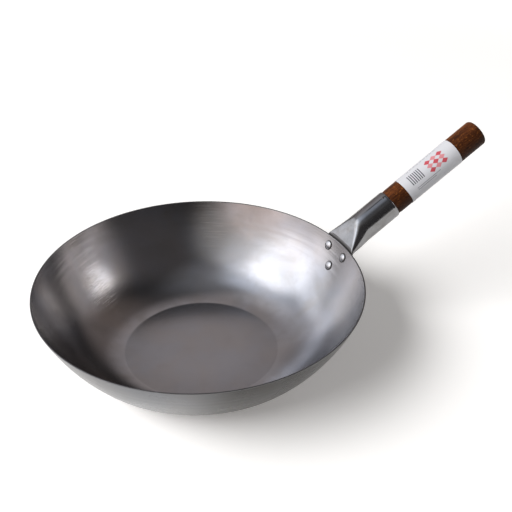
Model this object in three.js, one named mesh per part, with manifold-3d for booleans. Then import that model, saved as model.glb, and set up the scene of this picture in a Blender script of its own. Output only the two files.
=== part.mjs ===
// Flat-bottom wok: a spun steel bowl, a tube socket that is pressed flat and riveted to its wall,
// and a round wooden grip pinned in the socket, with a paper sleeve wrapped round it.
// Millimetres, +Z up. The origin is the middle of the flat base, and the handle points along +X.
import * as THREE from "three";
import { mergeVertices } from "three/addons/utils/BufferGeometryUtils.js";
import Module from "manifold-3d";

const degrees = THREE.MathUtils.degToRad;

// Bowl, measured on its outside
const RIM_RADIUS = 177.5;
const BOWL_HEIGHT = 88;
const FLAT_RADIUS = 85; // edge of the flat base
const KNUCKLE_RADIUS = 65; // bend from the base into the wall
const WALL_RADIUS = 200; // the wall's own gentle arc
const BOWL_SHEET = 1.5;

// Handle socket: a steel tube whose inner end is pressed flat, bent down and laid on the wall
const SOCKET_RADIUS = 16.9; // outside of the round tube
const SOCKET_SHEET = 1.2;
const HANDLE_TILT = degrees(29.5); // above the horizontal
const BEND_DROP = 3.4; // from the rim down the wall to the bend
const BEND_RADIUS = 8; // at the middle of the flattened tube
const FLARE_LENGTH = 24; // from the bend to the round tube
const FLARE_BLEND = 4; // before and after that point, the flare eases into the tube
const TUBE_LENGTH = 42.4; // from there to the mouth's roll
const CRIMP_LENGTH = 3; // the mouth, rolled in a little
const MOUTH_RADIUS = 16.4; // outside of its edge
const TANG_SHOULDER = 14; // down the wall to where the tang starts to narrow
const TANG_END_RADIUS = 9; // round the lower rivet

// Rivets: two side by side under the rim and one below them
const UPPER_RIVET_DROP = 10; // straight down from the rim
const LOWER_RIVET_DROP = 26.6;
const RIVET_SPACING = 30.4; // between the upper two
const RIVET_SHANK_RADIUS = 2.5;
const RIVET_HEAD_RADIUS = 5.6; // domed head inside the bowl
const RIVET_HEAD_HEIGHT = 2.6;
const RIVET_TAIL_RADIUS = 4.2; // hammered end outside
const RIVET_TAIL_HEIGHT = 2;

// Wooden grip
const GRIP_RADIUS = 15.6; // at the socket's mouth
const GRIP_END_RADIUS = 15.8;
const GRIP_LENGTH = 132.4; // that shows past the mouth
const GRIP_END_ROUND = 4;
const SPIGOT_LENGTH = 32; // inside the socket
const SPIGOT_CHAMFER = 1.5;

// Paper sleeve round the grip
const SLEEVE_OFFSET = 20.8; // past the mouth
const SLEEVE_LENGTH = 74.6;
const SLEEVE_PAPER = 0.2;

// Nail that pins the grip in the socket
const NAIL_OFFSET = 1.9; // from the crimp back to the nail
const NAIL_TURN = degrees(9); // round from the top, to the -Y side
const NAIL_SHANK_RADIUS = 0.9;
const NAIL_LENGTH = 14;
const NAIL_POINT = 2;
const NAIL_HEAD_RADIUS = 1.6;
const NAIL_HEAD_HEIGHT = 0.6;

// Clearances
const SEAT_GAP = 0.3; // between pieces that rest on each other
const HOLE_GAP = 0.3; // round a rivet, a nail or the spigot
const SLEEVE_GAP = 0.35; // the paper is wrapped a little loose
const CUT_OVERRUN = 2; // how far a cutting piece runs past what it cuts

// Facets
const BOWL_SIDES = 84;
const ROUND_SIDES = 32;
const SMALL_SIDES = 20;
const KNUCKLE_STEPS = 6;
const WALL_STEPS = 6;
const BEND_STEPS = 4;
const FLARE_STEPS = 7;
const CRIMP_STEPS = 2;
const TANG_END_STEPS = 5;
const TANG_EDGE_STEPS = 4;
const DOME_STEPS = 5;
const FLAT_STEPS = 4; // across a flat of the socket's section
const SIDE_STEPS = 12; // round one side of the socket's section
const FLAT_OPENING = degrees(6); // half the angle of the round section that opens into a flat
const WELD = 1e-4; // vertices nearer than this are one

const wasm = await Module();
wasm.setup();

// Solids

function solidOf(geometry) {
  const bare = geometry.clone();
  bare.deleteAttribute("normal");
  bare.deleteAttribute("uv");
  const welded = mergeVertices(bare, WELD);
  return new wasm.Manifold(
    new wasm.Mesh({
      numProp: 3,
      vertProperties: welded.attributes.position.array,
      triVerts: new Uint32Array(welded.index.array),
    }),
  );
}

function geometryOf(solid) {
  const mesh = solid.getMesh();
  const geometry = new THREE.BufferGeometry();
  geometry.setAttribute("position", new THREE.BufferAttribute(mesh.vertProperties, 3));
  geometry.setIndex(new THREE.BufferAttribute(mesh.triVerts, 1));
  geometry.computeVertexNormals();
  return geometry;
}

// A solid of revolution about Z. The profile is a list of [radius, height].
function turned(profile, sides) {
  const points = profile.map(([radius, height]) => new THREE.Vector2(radius, height));
  return new THREE.LatheGeometry(points, sides).rotateX(Math.PI / 2);
}

// A closed skin through rings of points, which run along the loft and all hold as many points.
function lofted(rings) {
  const count = rings[0].length;
  const positions = rings.flat().flatMap((point) => point.toArray());
  const faces = [];
  for (let ring = 0; ring + 1 < rings.length; ring++) {
    for (let k = 0; k < count; k++) {
      const here = ring * count + k;
      const next = ring * count + ((k + 1) % count);
      faces.push(here, next, next + count, here, next + count, here + count);
    }
  }
  const capped = (ring, turn) => {
    const middle = new THREE.Vector3();
    ring.forEach((point) => middle.addScaledVector(point, 1 / count));
    const centre = positions.length / 3;
    const first = rings.indexOf(ring) * count;
    positions.push(...middle.toArray());
    for (let k = 0; k < count; k++) {
      const edge = [first + k, first + ((k + 1) % count)];
      faces.push(centre, ...(turn ? edge.reverse() : edge));
    }
  };
  capped(rings[0], true);
  capped(rings.at(-1), false);
  const geometry = new THREE.BufferGeometry();
  geometry.setAttribute("position", new THREE.Float32BufferAttribute(positions, 3));
  geometry.setIndex(faces);
  return geometry;
}

// [radius, height] points on an arc, by the slope that its tangent has at each point.
function slopeArc(centre, radius, from, to, steps) {
  return Array.from({ length: steps + 1 }, (_, k) => {
    const slope = from + ((to - from) * k) / steps;
    return [centre[0] + radius * Math.sin(slope), centre[1] - radius * Math.cos(slope)];
  });
}

const material = (color, roughness, metalness) =>
  new THREE.MeshStandardMaterial({ color, roughness, metalness });

function piece(name, geometry, look) {
  const mesh = new THREE.Mesh(geometry, look);
  mesh.name = name;
  return mesh;
}

// Bowl section: the knuckle's arc runs into the wall's arc with no corner

const wallReach = RIM_RADIUS - FLAT_RADIUS;
// One arc from the base to the rim would have this radius, and the knuckle stays inside it.
const knuckleLimit = 0.95 * ((wallReach ** 2 + BOWL_HEIGHT ** 2) / (2 * BOWL_HEIGHT));
const knuckle = Math.min(KNUCKLE_RADIUS, knuckleLimit);
const knuckleCentre = [FLAT_RADIUS, knuckle];
const wallCentre = tangentCentre();
const kneeSlope = Math.atan2(knuckleCentre[0] - wallCentre[0], wallCentre[1] - knuckleCentre[1]);
const rimSlope = Math.atan2(RIM_RADIUS - wallCentre[0], wallCentre[1] - BOWL_HEIGHT);

// Centre of the wall's arc, which passes through the rim and touches the knuckle's circle from outside.
function tangentCentre() {
  const [x, z] = [knuckleCentre[0] - RIM_RADIUS, knuckleCentre[1] - BOWL_HEIGHT];
  const apart = Math.hypot(x, z);
  const along = (apart ** 2 + WALL_RADIUS ** 2 - (WALL_RADIUS - knuckle) ** 2) / (2 * apart);
  const across = Math.sqrt(WALL_RADIUS ** 2 - along ** 2);
  return [
    RIM_RADIUS + (x * along + z * across) / apart,
    BOWL_HEIGHT + (z * along - x * across) / apart,
  ];
}

const slopeAtHeight = (height, radius) => Math.acos((wallCentre[1] - height) / radius);
const slopeDownWall = (distance) => rimSlope - distance / WALL_RADIUS;
const wallNormal = (slope) => [Math.sin(slope), -Math.cos(slope)];

function bowlGeometry() {
  const inner = WALL_RADIUS - BOWL_SHEET;
  const outside = [
    ...slopeArc(knuckleCentre, knuckle, 0, kneeSlope, KNUCKLE_STEPS),
    ...slopeArc(wallCentre, WALL_RADIUS, kneeSlope, rimSlope, WALL_STEPS).slice(1),
  ];
  const inside = [
    ...slopeArc(knuckleCentre, knuckle - BOWL_SHEET, 0, kneeSlope, KNUCKLE_STEPS),
    ...slopeArc(wallCentre, inner, kneeSlope, slopeAtHeight(BOWL_HEIGHT, inner), WALL_STEPS).slice(1),
  ];
  return turned([[0, 0], ...outside, ...inside.reverse(), [0, BOWL_SHEET]], BOWL_SIDES);
}

// Rivets: where they sit, how they look and the holes they need

const upperTurn = Math.asin(RIVET_SPACING / 2 / rivetSeat(UPPER_RIVET_DROP, 0).radius);
const rivetSeats = {
  rivet_upper_left: rivetSeat(UPPER_RIVET_DROP, upperTurn),
  rivet_upper_right: rivetSeat(UPPER_RIVET_DROP, -upperTurn),
  rivet_lower: rivetSeat(LOWER_RIVET_DROP, 0),
};

// The rivet's point on the bowl's inside, and the way through the wall from there.
function rivetSeat(drop, turn) {
  const slope = slopeAtHeight(BOWL_HEIGHT - drop, WALL_RADIUS - BOWL_SHEET);
  const [out, down] = wallNormal(slope);
  const radius = wallCentre[0] + (WALL_RADIUS - BOWL_SHEET) * out;
  const point = new THREE.Vector3(radius * Math.cos(turn), radius * Math.sin(turn), BOWL_HEIGHT - drop);
  const axis = new THREE.Vector3(out * Math.cos(turn), out * Math.sin(turn), down);
  return { slope, radius, point, axis };
}

function placeRivet(object, seat) {
  object.position.copy(seat.point);
  object.quaternion.setFromUnitVectors(new THREE.Vector3(0, 0, 1), seat.axis);
  object.updateMatrix();
  return object;
}

// A dome's profile from its edge to its top on the axis; a negative height points it down.
function dome(radius, height, base) {
  return Array.from({ length: DOME_STEPS + 1 }, (_, k) => {
    const turn = (Math.PI / 2) * (k / DOME_STEPS);
    return [radius * Math.cos(turn), base + height * Math.sin(turn)];
  });
}

function rivetGeometry() {
  // The wall curves in towards the head's flat underside, so the head's edge sets its seat.
  const wallRise = RIVET_HEAD_RADIUS ** 2 / (2 * (RIM_RADIUS - BOWL_SHEET));
  const headSeat = -SEAT_GAP - 2 * wallRise;
  const tailSeat = BOWL_SHEET + 2 * SOCKET_SHEET + 2 * SEAT_GAP;
  return turned(
    [
      ...dome(RIVET_HEAD_RADIUS, -RIVET_HEAD_HEIGHT, headSeat).reverse(),
      [RIVET_SHANK_RADIUS, headSeat],
      [RIVET_SHANK_RADIUS, tailSeat],
      ...dome(RIVET_TAIL_RADIUS, RIVET_TAIL_HEIGHT, tailSeat),
    ],
    SMALL_SIDES,
  );
}

// Holes through the bowl and the tang, as solids to cut away.
function rivetHoles() {
  const length = BOWL_SHEET + 2 * SOCKET_SHEET + SEAT_GAP + 2 * CUT_OVERRUN;
  const bore = RIVET_SHANK_RADIUS + HOLE_GAP;
  return Object.values(rivetSeats).map((seat) => {
    const drill = new THREE.CylinderGeometry(bore, bore, length, SMALL_SIDES).rotateX(Math.PI / 2);
    drill.translate(0, 0, length / 2 - CUT_OVERRUN);
    return solidOf(drill.applyMatrix4(placeRivet(new THREE.Object3D(), seat).matrix));
  });
}

// Socket: the middle line of the flattened tube climbs the wall, bends out and becomes the handle's axis

const tangMiddle = WALL_RADIUS + SEAT_GAP + SOCKET_SHEET;
const flatHalfWidth = (Math.PI / 2) * (SOCKET_RADIUS - SOCKET_SHEET / 2); // half the tube's girth, laid flat
const bendSlope = slopeDownWall(BEND_DROP);
const bendCentre = step(wallStation(BEND_DROP).point, wallNormal(bendSlope), BEND_RADIUS);
const axisStart = step(bendCentre, wallNormal(HANDLE_TILT), -BEND_RADIUS);
const axisWay = [Math.cos(HANDLE_TILT), Math.sin(HANDLE_TILT)];
const bendTurn = bendSlope - HANDLE_TILT;
const flareEnd = FLARE_LENGTH + FLARE_BLEND;
const crimpStart = FLARE_LENGTH + TUBE_LENGTH;
const mouth = crimpStart + CRIMP_LENGTH;

function step(point, way, distance) {
  return [point[0] + way[0] * distance, point[1] + way[1] * distance];
}

function wallStation(distance) {
  const normal = wallNormal(slopeDownWall(distance));
  return { point: step(wallCentre, normal, tangMiddle), normal };
}

const axisStation = (distance) => ({
  point: step(axisStart, axisWay, distance),
  normal: wallNormal(HANDLE_TILT),
});

const sectionTurns = [Math.PI / 2, (3 * Math.PI) / 2].flatMap((flat) => {
  const side = Math.PI - 2 * FLAT_OPENING;
  return [
    ...Array.from({ length: FLAT_STEPS }, (_, k) => flat + FLAT_OPENING * ((2 * k) / FLAT_STEPS - 1)),
    ...Array.from({ length: SIDE_STEPS }, (_, k) => flat + FLAT_OPENING + (side * k) / SIDE_STEPS),
  ];
});

// One ring of the socket: sides of half height `round`, opened to `halfWidth` by a flat above and below.
// `wrap` is 1 where the ring follows the bowl's curve and 0 where it is straight.
function sectionRing({ point, normal }, round, halfWidth, wrap) {
  return sectionTurns.map((turn) => {
    const opened = THREE.MathUtils.clamp(Math.cos(turn) / Math.sin(FLAT_OPENING), -1, 1);
    const across = round * Math.cos(turn) + (halfWidth - round) * opened;
    const [radius, height] = step(point, normal, -round * Math.sin(turn));
    const bowed = radius - Math.sqrt(radius ** 2 - across ** 2);
    return new THREE.Vector3(radius - wrap * bowed, across, height);
  });
}

// The tang's outline from its tip up to its shoulder: a round end, then a straight edge that widens.
function tangOutline() {
  const lowest = (rimSlope - rivetSeats.rivet_lower.slope) * WALL_RADIUS;
  const fall = lowest - TANG_SHOULDER;
  const edge = Math.atan2(flatHalfWidth, fall) - Math.asin(TANG_END_RADIUS / Math.hypot(fall, flatHalfWidth));
  const touch = Math.PI / 2 - edge;
  const tip = Math.asin((2 * SOCKET_SHEET) / TANG_END_RADIUS);
  const end = Array.from({ length: TANG_END_STEPS + 1 }, (_, k) => {
    const turn = tip + ((touch - tip) * k) / TANG_END_STEPS;
    return { drop: lowest + TANG_END_RADIUS * Math.cos(turn), halfWidth: TANG_END_RADIUS * Math.sin(turn) };
  });
  const { drop, halfWidth } = end.at(-1);
  const widening = Array.from({ length: TANG_EDGE_STEPS }, (_, k) => {
    const share = (k + 1) / TANG_EDGE_STEPS;
    return {
      drop: drop + (TANG_SHOULDER - drop) * share,
      halfWidth: halfWidth + (flatHalfWidth - halfWidth) * share,
    };
  });
  return [...end, ...widening];
}

// Half the tube's height once it has bent by `turn`: its upper side runs straight on from the wall.
const bendRound = (turn) => (SOCKET_SHEET + BEND_RADIUS * (1 - Math.cos(turn))) / Math.cos(turn);

// Half the tube's width by half its height: the girth stays as it is.
function widthAt(round) {
  const opened = (round - SOCKET_SHEET) / (SOCKET_RADIUS - SOCKET_SHEET);
  return flatHalfWidth + (SOCKET_RADIUS - flatHalfWidth) * opened;
}

// Half the tube's height along the flare, which opens evenly and then eases into the tube.
function flareRound(distance) {
  const eased = Math.max(distance - FLARE_LENGTH + FLARE_BLEND, 0);
  const share = (distance - eased ** 2 / (4 * FLARE_BLEND)) / FLARE_LENGTH;
  return bendRound(bendTurn) + (SOCKET_RADIUS - bendRound(bendTurn)) * share;
}

// The tube from the bend to its mouth, with `shrink` taken off all round.
function tubeRings(shrink) {
  const flare = Array.from({ length: FLARE_STEPS }, (_, k) => {
    const distance = (flareEnd * k) / FLARE_STEPS;
    const round = flareRound(distance);
    const wrap = Math.max(1 - distance / FLARE_LENGTH, 0) ** 2;
    return sectionRing(axisStation(distance), round - shrink, widthAt(round) - shrink, wrap);
  });
  const round = Array.from({ length: CRIMP_STEPS + 2 }, (_, k) => {
    const share = Math.max(k - 1, 0) / CRIMP_STEPS;
    const distance = k === 0 ? flareEnd : crimpStart + CRIMP_LENGTH * share;
    const radius = SOCKET_RADIUS + (MOUTH_RADIUS - SOCKET_RADIUS) * share ** 2 - shrink;
    return sectionRing(axisStation(distance), radius, radius, 0);
  });
  return [...flare, ...round];
}

function socketGeometry(holes) {
  const tang = tangOutline().map(({ drop, halfWidth }) =>
    sectionRing(wallStation(drop), SOCKET_SHEET, halfWidth, 1),
  );
  const bend = Array.from({ length: BEND_STEPS }, (_, k) => {
    const turn = (bendTurn * k) / BEND_STEPS;
    const normal = wallNormal(bendSlope - turn);
    const station = { point: step(bendCentre, normal, -BEND_RADIUS), normal };
    return sectionRing(station, bendRound(turn), widthAt(bendRound(turn)), 1);
  });
  const outside = solidOf(lofted([...tang, ...bend, ...tubeRings(0)]));
  const past = MOUTH_RADIUS - SOCKET_SHEET;
  const cavity = solidOf(
    lofted([
      ...tubeRings(SOCKET_SHEET),
      sectionRing(axisStation(mouth + CUT_OVERRUN), past, past, 0),
    ]),
  );
  return geometryOf(holes.reduce((solid, hole) => solid.subtract(hole), outside.subtract(cavity)));
}

// Grip, sleeve and nail are made along the handle's axis, which is their own Z

const spigotRadius = SOCKET_RADIUS - SOCKET_SHEET - HOLE_GAP;
const shoulder = mouth + SEAT_GAP;
const gripEnd = mouth + GRIP_LENGTH;
const gripRadiusAt = (distance) =>
  GRIP_RADIUS + ((GRIP_END_RADIUS - GRIP_RADIUS) * (distance - mouth)) / GRIP_LENGTH;

function gripGeometry(nailHole) {
  const foot = mouth - SPIGOT_LENGTH;
  const waist = MOUTH_RADIUS - SOCKET_SHEET - HOLE_GAP;
  const crimped = Array.from({ length: CRIMP_STEPS + 1 }, (_, k) => {
    const share = k / CRIMP_STEPS;
    return [spigotRadius + (waist - spigotRadius) * share ** 2, crimpStart + CRIMP_LENGTH * share];
  });
  const roundStart = gripEnd - GRIP_END_ROUND;
  const roundedEnd = dome(GRIP_END_ROUND, GRIP_END_ROUND, roundStart).map(([radius, height]) => [
    gripRadiusAt(roundStart) - GRIP_END_ROUND + radius,
    height,
  ]);
  const profile = [
    [0, foot],
    [spigotRadius - SPIGOT_CHAMFER, foot],
    [spigotRadius, foot + SPIGOT_CHAMFER],
    ...crimped,
    [waist, shoulder],
    [gripRadiusAt(shoulder), shoulder],
    ...roundedEnd,
    [0, gripEnd],
  ];
  return geometryOf(solidOf(turned(profile, ROUND_SIDES)).subtract(nailHole));
}

function sleeveGeometry() {
  const [near, far] = [mouth + SLEEVE_OFFSET, mouth + SLEEVE_OFFSET + SLEEVE_LENGTH];
  const inside = (distance) => gripRadiusAt(distance) + SLEEVE_GAP;
  return turned(
    [
      [inside(near), near],
      [inside(near) + SLEEVE_PAPER, near],
      [inside(far) + SLEEVE_PAPER, far],
      [inside(far), far],
      [inside(near), near],
    ],
    ROUND_SIDES,
  );
}

// The nail's own Z runs from its point to its head, and its origin is under the head.
function nailGeometry() {
  return turned(
    [
      [0, -NAIL_LENGTH],
      [NAIL_SHANK_RADIUS, NAIL_POINT - NAIL_LENGTH],
      [NAIL_SHANK_RADIUS, 0],
      ...dome(NAIL_HEAD_RADIUS, NAIL_HEAD_HEIGHT, 0),
    ],
    SMALL_SIDES,
  );
}

function placeNail(object) {
  const way = new THREE.Vector3(-Math.cos(NAIL_TURN), -Math.sin(NAIL_TURN), 0);
  object.position.copy(way).multiplyScalar(SOCKET_RADIUS + SEAT_GAP);
  object.position.z = crimpStart - NAIL_OFFSET;
  object.quaternion.setFromUnitVectors(new THREE.Vector3(0, 0, 1), way);
  object.updateMatrix();
  return object;
}

// The nail's hole along the handle's axis frame, for the grip and, turned into place, for the socket.
function nailHoleGeometry() {
  const bore = NAIL_SHANK_RADIUS + HOLE_GAP;
  const depth = NAIL_LENGTH + HOLE_GAP;
  const drill = new THREE.CylinderGeometry(bore, bore, depth + CUT_OVERRUN, SMALL_SIDES).rotateX(Math.PI / 2);
  drill.translate(0, 0, (CUT_OVERRUN - depth) / 2);
  return drill.applyMatrix4(placeNail(new THREE.Object3D()).matrix);
}

// Assembly

const handle = new THREE.Group();
handle.position.set(axisStart[0], 0, axisStart[1]);
handle.rotation.y = Math.PI / 2 - HANDLE_TILT;
handle.updateMatrix();

const spunSteel = material(0x85868a, 0.35, 1);
const socketSteel = material(0x8d8d90, 0.25, 1);
const rivetSteel = material(0xb4b4b8, 0.25, 1);
const nailSteel = material(0x4a4846, 0.5, 1);
const stainedWood = material(0x5a2c14, 0.45, 0);
const whitePaper = material(0xdcdce2, 0.7, 0);

const rivetBores = rivetHoles();
const nailBore = nailHoleGeometry();
const bowlSolid = rivetBores.reduce((solid, hole) => solid.subtract(hole), solidOf(bowlGeometry()));
const socketBores = [...rivetBores, solidOf(nailBore.clone().applyMatrix4(handle.matrix))];

handle.add(
  piece("wood_grip", gripGeometry(solidOf(nailBore)), stainedWood),
  piece("paper_sleeve", sleeveGeometry(), whitePaper),
  placeNail(piece("grip_nail", nailGeometry(), nailSteel)),
);

const wok = new THREE.Group();
wok.add(
  piece("wok_bowl", geometryOf(bowlSolid), spunSteel),
  piece("handle_socket", socketGeometry(socketBores), socketSteel),
  handle,
);
for (const [name, seat] of Object.entries(rivetSeats)) {
  wok.add(placeRivet(piece(name, rivetGeometry(), rivetSteel), seat));
}

export default wok;
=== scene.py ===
import math

import bmesh
import bpy
from mathutils import Matrix, Vector


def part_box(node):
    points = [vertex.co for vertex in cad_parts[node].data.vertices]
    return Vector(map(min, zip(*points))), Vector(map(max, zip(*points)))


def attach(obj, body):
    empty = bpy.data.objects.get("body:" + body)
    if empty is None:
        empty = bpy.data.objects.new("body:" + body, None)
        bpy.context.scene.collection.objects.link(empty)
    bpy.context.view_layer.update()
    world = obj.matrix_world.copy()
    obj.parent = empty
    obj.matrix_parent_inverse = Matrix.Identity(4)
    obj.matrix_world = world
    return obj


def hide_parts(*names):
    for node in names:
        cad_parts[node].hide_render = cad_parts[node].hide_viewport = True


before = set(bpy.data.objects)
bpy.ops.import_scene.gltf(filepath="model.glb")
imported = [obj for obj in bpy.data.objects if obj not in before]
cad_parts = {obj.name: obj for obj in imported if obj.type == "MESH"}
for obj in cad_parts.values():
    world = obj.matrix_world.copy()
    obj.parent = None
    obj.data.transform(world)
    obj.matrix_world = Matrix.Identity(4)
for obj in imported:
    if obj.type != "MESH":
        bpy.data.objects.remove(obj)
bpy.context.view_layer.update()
print("frame loaded:", sorted(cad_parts))

scene = bpy.context.scene
scene.view_settings.view_transform = "Standard"

# Small tools that the pieces share

sharpAngle = math.radians(50)  # edges that turn by more than this stay sharp


def linkPiece(name, mesh, creaseAngle=None):
    obj = bpy.data.objects.new(name, mesh)
    scene.collection.objects.link(obj)
    mesh.shade_smooth()
    if creaseAngle:
        mesh.set_sharp_from_angle(angle=creaseAngle)
    return obj


def finishPiece(obj, slotName, *nodes):
    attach(obj, "root")
    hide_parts(*nodes)
    print("  piece", obj.name, "with", len(obj.data.polygons), "faces")


def slopeArc(centre, radius, fromSlope, toSlope, steps):
    # points of an arc in (radius, height), found by the slope of its tangent
    points = []
    for k in range(steps + 1):
        slope = fromSlope + (toSlope - fromSlope) * k / steps
        points.append((centre[0] + radius * math.sin(slope), centre[1] - radius * math.cos(slope)))
    return points


def roundedCorner(radius, centre, fromTurn, toTurn, steps):
    # a small fillet in (radius, height), turn 0 points outwards and 90 degrees points up
    points = []
    for k in range(steps + 1):
        turn = fromTurn + (toTurn - fromTurn) * k / steps
        points.append((centre[0] + radius * math.cos(turn), centre[1] + radius * math.sin(turn)))
    return points


def ringMesh(name, rings):
    # skin over rings that all hold as many points, with the first and the last ring capped
    mesh = bpy.data.meshes.new(name)
    count = len(rings[0])
    vertices = [p for ring in rings for p in ring]
    faces = []
    for r in range(len(rings) - 1):
        a, b = r * count, (r + 1) * count
        for k in range(count):
            n = (k + 1) % count
            faces.append((a + k, a + n, b + n, b + k))
    faces.append(tuple(reversed(range(count))))
    faces.append(tuple(range((len(rings) - 1) * count, len(rings) * count)))
    mesh.from_pydata(vertices, [], faces)
    mesh.update()
    return mesh


class NodeSheet:
    # a short way to write shader and geometry trees: add a node, set its inputs, wire what other nodes give
    def __init__(self, tree):
        self.tree = tree

    def fill(self, node, inputs):
        for key, value in inputs.items():
            socket = node.inputs[key]
            if isinstance(value, bpy.types.NodeSocket):
                self.tree.links.new(value, socket)
            else:
                socket.default_value = (*value[:3], 1.0) if socket.type == "RGBA" else value

    def add(self, kind, inputs=None, **settings):
        node = self.tree.nodes.new(kind)
        for key, value in settings.items():
            setattr(node, key, value)
        self.fill(node, inputs or {})
        return node

    def math(self, operation, a, b=0.0):
        return self.add("ShaderNodeMath", {0: a, 1: b}, operation=operation).outputs[0]

    def most(self, values):
        total = values[0]
        for value in values[1:]:
            total = self.math("MAXIMUM", total, value)
        return total

    def vector(self, operation, a, b=(0.0, 0.0, 0.0)):
        node = self.add("ShaderNodeVectorMath", {0: a, 1: b}, operation=operation)
        return node.outputs["Value" if operation in ("DOT_PRODUCT", "LENGTH") else "Vector"]

    def parts(self, vector):
        return self.add("ShaderNodeSeparateXYZ", {0: vector}).outputs

    def joined(self, x, y, z=0.0):
        return self.add("ShaderNodeCombineXYZ", {"X": x, "Y": y, "Z": z}).outputs[0]

    def place(self):
        return self.add("ShaderNodeTexCoord").outputs["Object"]

    def ramp(self, value, low, high, toLow=0.0, toHigh=1.0):
        ends = {"From Min": low, "From Max": high, "To Min": toLow, "To Max": toHigh}
        node = self.add("ShaderNodeMapRange", {"Value": value, **ends}, interpolation_type="SMOOTHSTEP")
        return node.outputs["Result"]

    def mix(self, factor, first, second, blend="MIX"):
        inputs = {0: factor, 6: first, 7: second}
        return self.add("ShaderNodeMix", inputs, data_type="RGBA", blend_type=blend).outputs[2]

    def noise(self, vector, scale, detail=3.0, roughness=0.5, distortion=0.0):
        kind = {"Scale": scale, "Detail": detail, "Roughness": roughness, "Distortion": distortion}
        return self.add("ShaderNodeTexNoise", {"Vector": vector, **kind}).outputs[0]

    def bump(self, height, strength, distance, under=None):
        inputs = {"Height": height, "Strength": strength, "Distance": distance}
        if under is not None:
            inputs["Normal"] = under
        return self.add("ShaderNodeBump", inputs).outputs[0]

    def seen(self):
        # 1 for what the camera, a gloss or a clear material sees, 0 for the light that falls on things
        path = self.add("ShaderNodeLightPath").outputs
        return self.most([path["Is Camera Ray"], path["Is Glossy Ray"], path["Is Transmission Ray"]])


def newFinish(name):
    material = bpy.data.materials.new(name)
    material.use_nodes = True
    sheet = NodeSheet(material.node_tree)
    shader = material.node_tree.nodes["Principled BSDF"]
    return material, sheet, shader


# Geometry trees: what they share, and the one that turns a profile as a lathe does


def newTree(name, inputs, output):
    # a tree with these named inputs, and the inputs' identifiers
    tree = bpy.data.node_groups.new(name, "GeometryNodeTree")
    sockets = {}
    for label, kind in inputs.items():
        socket = tree.interface.new_socket(label, in_out="INPUT", socket_type="NodeSocket" + kind)
        sockets[label] = socket.identifier
    tree.interface.new_socket(output, in_out="OUTPUT", socket_type="NodeSocketGeometry")
    return tree, sockets


def endTree(sheet, skin, finish):
    real = sheet.add("GeometryNodeRealizeInstances", {"Geometry": skin})
    coloured = sheet.add("GeometryNodeSetMaterial", {"Geometry": real.outputs[0], "Material": finish})
    sheet.add("NodeGroupOutput", {0: coloured.outputs[0]})


def plainMesh(obj, name):
    # the evaluated result of an object's modifiers, as a mesh with no modifiers left
    evaluated = obj.evaluated_get(bpy.context.evaluated_depsgraph_get())
    mesh = bpy.data.meshes.new_from_object(evaluated)
    mesh.name = name
    bpy.data.objects.remove(obj)
    return mesh


def outwards(mesh):
    # doubles merged and faces turned out
    work = bmesh.new()
    work.from_mesh(mesh)
    bmesh.ops.remove_doubles(work, verts=work.verts, dist=weld)
    bmesh.ops.recalc_face_normals(work, faces=work.faces)
    work.to_mesh(mesh)
    work.free()
    return mesh


def grownMesh(name, blank, tree, values):
    # what a tree makes of a blank mesh, with the tree's inputs set by their identifiers
    obj = bpy.data.objects.new(name + "Blank", blank)
    modifier = obj.modifiers.new("grow", "NODES")
    modifier.node_group = tree
    for identifier, value in values.items():
        modifier[identifier] = value
    scene.collection.objects.link(obj)
    return outwards(plainMesh(obj, name))


weld = 2e-6  # points nearer than this are one
turningArm = 1.0  # the path's radius; profiles are drawn from it so that the axis lies at minus one arm


def turningTree():
    inputs = {"Profile": "Geometry", "Sides": "Int", "Finish": "Material"}
    tree, sockets = newTree("turnOnAxis", inputs, "Turned")
    sheet = NodeSheet(tree)
    start = sheet.add("NodeGroupInput").outputs
    outline = sheet.add("GeometryNodeMeshToCurve", {"Mesh": start["Profile"]}).outputs["Curve"]
    circle = {"Resolution": start["Sides"], "Radius": turningArm}
    path = sheet.add("GeometryNodeCurvePrimitiveCircle", circle).outputs["Curve"]
    skin = sheet.add("GeometryNodeCurveToMesh", {"Curve": path, "Profile Curve": outline}).outputs["Mesh"]
    welded = sheet.add("GeometryNodeMergeByDistance", {"Geometry": skin, "Distance": weld})
    endTree(sheet, welded.outputs["Geometry"], start["Finish"])
    return tree, sockets


turning, turningSockets = turningTree()


def turnedMesh(name, profile, sides, material):
    # profile is a list of (radius, height), drawn here in the plane that the tree sweeps
    drawn = bpy.data.meshes.new(name + "Profile")
    points = [(radius - turningArm, -height, 0.0) for radius, height in profile]
    drawn.from_pydata(points, [(k, k + 1) for k in range(len(points) - 1)], [])
    values = {turningSockets["Sides"]: sides, turningSockets["Finish"]: material}
    return grownMesh(name, drawn, turning, values)


# Bowl: spun from one sheet, with a flat base, a round knuckle and a wall that is itself a gentle arc

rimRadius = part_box("wok_bowl")[1].y
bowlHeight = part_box("wok_bowl")[1].z
bowlSizes = {
    "flatRadius": 0.085,
    "knuckleRadius": 0.065,
    "wallRadius": 0.200,
    "sheet": 0.0015,
    "rimRound": 0.0005,
    "creaseSlope": math.radians(8),  # the wall leaves the flat base with a crease, not a smooth curve
    "creaseRound": 0.0012,
    "sides": 224,
    "knuckleSteps": 28,
    "wallSteps": 80,
}

# shallow rings left by the spinning roller: distance below the rim, width and depth
rollerRings = [
    {"below": 0.0055, "width": 0.0018, "depth": 0.00002},
    {"below": 0.0150, "width": 0.0022, "depth": 0.000025},
    {"below": 0.0235, "width": 0.0026, "depth": 0.00004},
    {"below": 0.0330, "width": 0.0030, "depth": 0.00003},
]


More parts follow.
